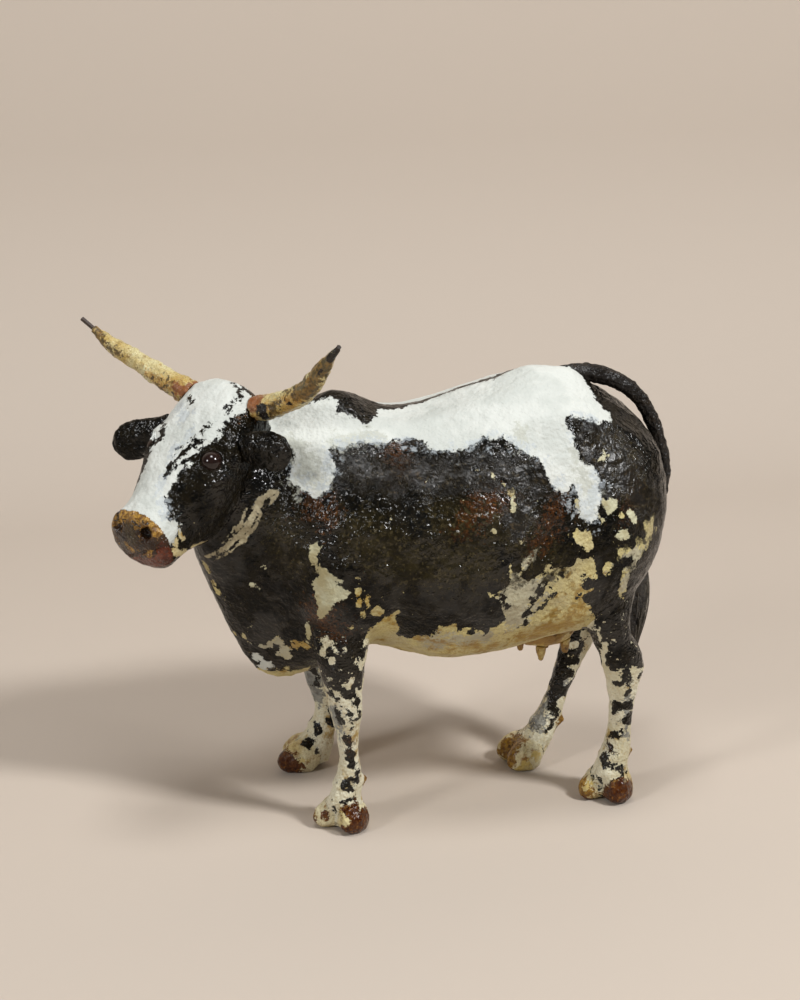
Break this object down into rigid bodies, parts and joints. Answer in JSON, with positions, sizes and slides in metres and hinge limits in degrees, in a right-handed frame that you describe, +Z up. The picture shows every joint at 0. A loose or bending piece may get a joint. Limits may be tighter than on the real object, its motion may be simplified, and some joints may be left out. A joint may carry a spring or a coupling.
{
  "type": "cow figurine",
  "caption": "Standing papier-mache cow with turned head, wire-cored horns, bead eyes, cloven hooves, udder and a fibre tail brush, built over a wire armature.",
  "frame": {"origin": "on the ground, under the middle of the outer size", "axes": "+X towards the tail, +Y towards the cow's right side, +Z up"},
  "size_m": [0.322, 0.1418, 0.2823],
  "materials": {
    "coat_paint": "satin",
    "face_paint": "matte",
    "leg_paint": "satin",
    "horn_paint": "satin",
    "muzzle_paint": "gloss",
    "hoof_paint": "gloss",
    "glass_bead": "polished",
    "udder_paint": "satin",
    "tail_paint": "satin",
    "fibre": "matte",
    "newsprint": "matte",
    "gummed_paper": "matte",
    "tape": "matte",
    "iron_wire": "matte"
  },
  "bodies": {
    "root": {"body_shell_left": "coat_paint", "body_shell_right": "coat_paint", "chest_wad": "newsprint", "claw_fore_left_left": "hoof_paint", "claw_fore_left_right": "hoof_paint", "claw_fore_right_left": "hoof_paint", "claw_fore_right_right": "hoof_paint", "claw_hind_left_left": "hoof_paint", "claw_hind_left_right": "hoof_paint", "claw_hind_right_left": "hoof_paint", "claw_hind_right_right": "hoof_paint", "dewclaw_fore_left_left": "hoof_paint", "dewclaw_fore_left_right": "hoof_paint", "dewclaw_fore_right_left": "hoof_paint", "dewclaw_fore_right_right": "hoof_paint", "dewclaw_hind_left_left": "hoof_paint", "dewclaw_hind_left_right": "hoof_paint", "dewclaw_hind_right_left": "hoof_paint", "dewclaw_hind_right_right": "hoof_paint", "ear_left": "coat_paint", "ear_right": "coat_paint", "eye_left": "glass_bead", "eye_right": "glass_bead", "fore_leg_left": "leg_paint", "fore_leg_right": "leg_paint", "fore_leg_wire": "iron_wire", "head_shell": "face_paint", "head_wad": "newsprint", "hind_leg_left": "leg_paint", "hind_leg_right": "leg_paint", "hind_leg_wire": "iron_wire", "hip_binding": "tape", "horn_left": "horn_paint", "horn_right": "horn_paint", "horn_wire": "iron_wire", "muzzle": "muzzle_paint", "poll_binding": "tape", "rump_wad": "newsprint", "seam_strip": "gummed_paper", "shoulder_binding": "tape", "spine_wire": "iron_wire", "tail": "tail_paint", "tail_switch": "fibre", "teat_front_left": "udder_paint", "teat_front_right": "udder_paint", "teat_rear_left": "udder_paint", "teat_rear_right": "udder_paint", "udder": "udder_paint"}
  },
  "joints": []
}
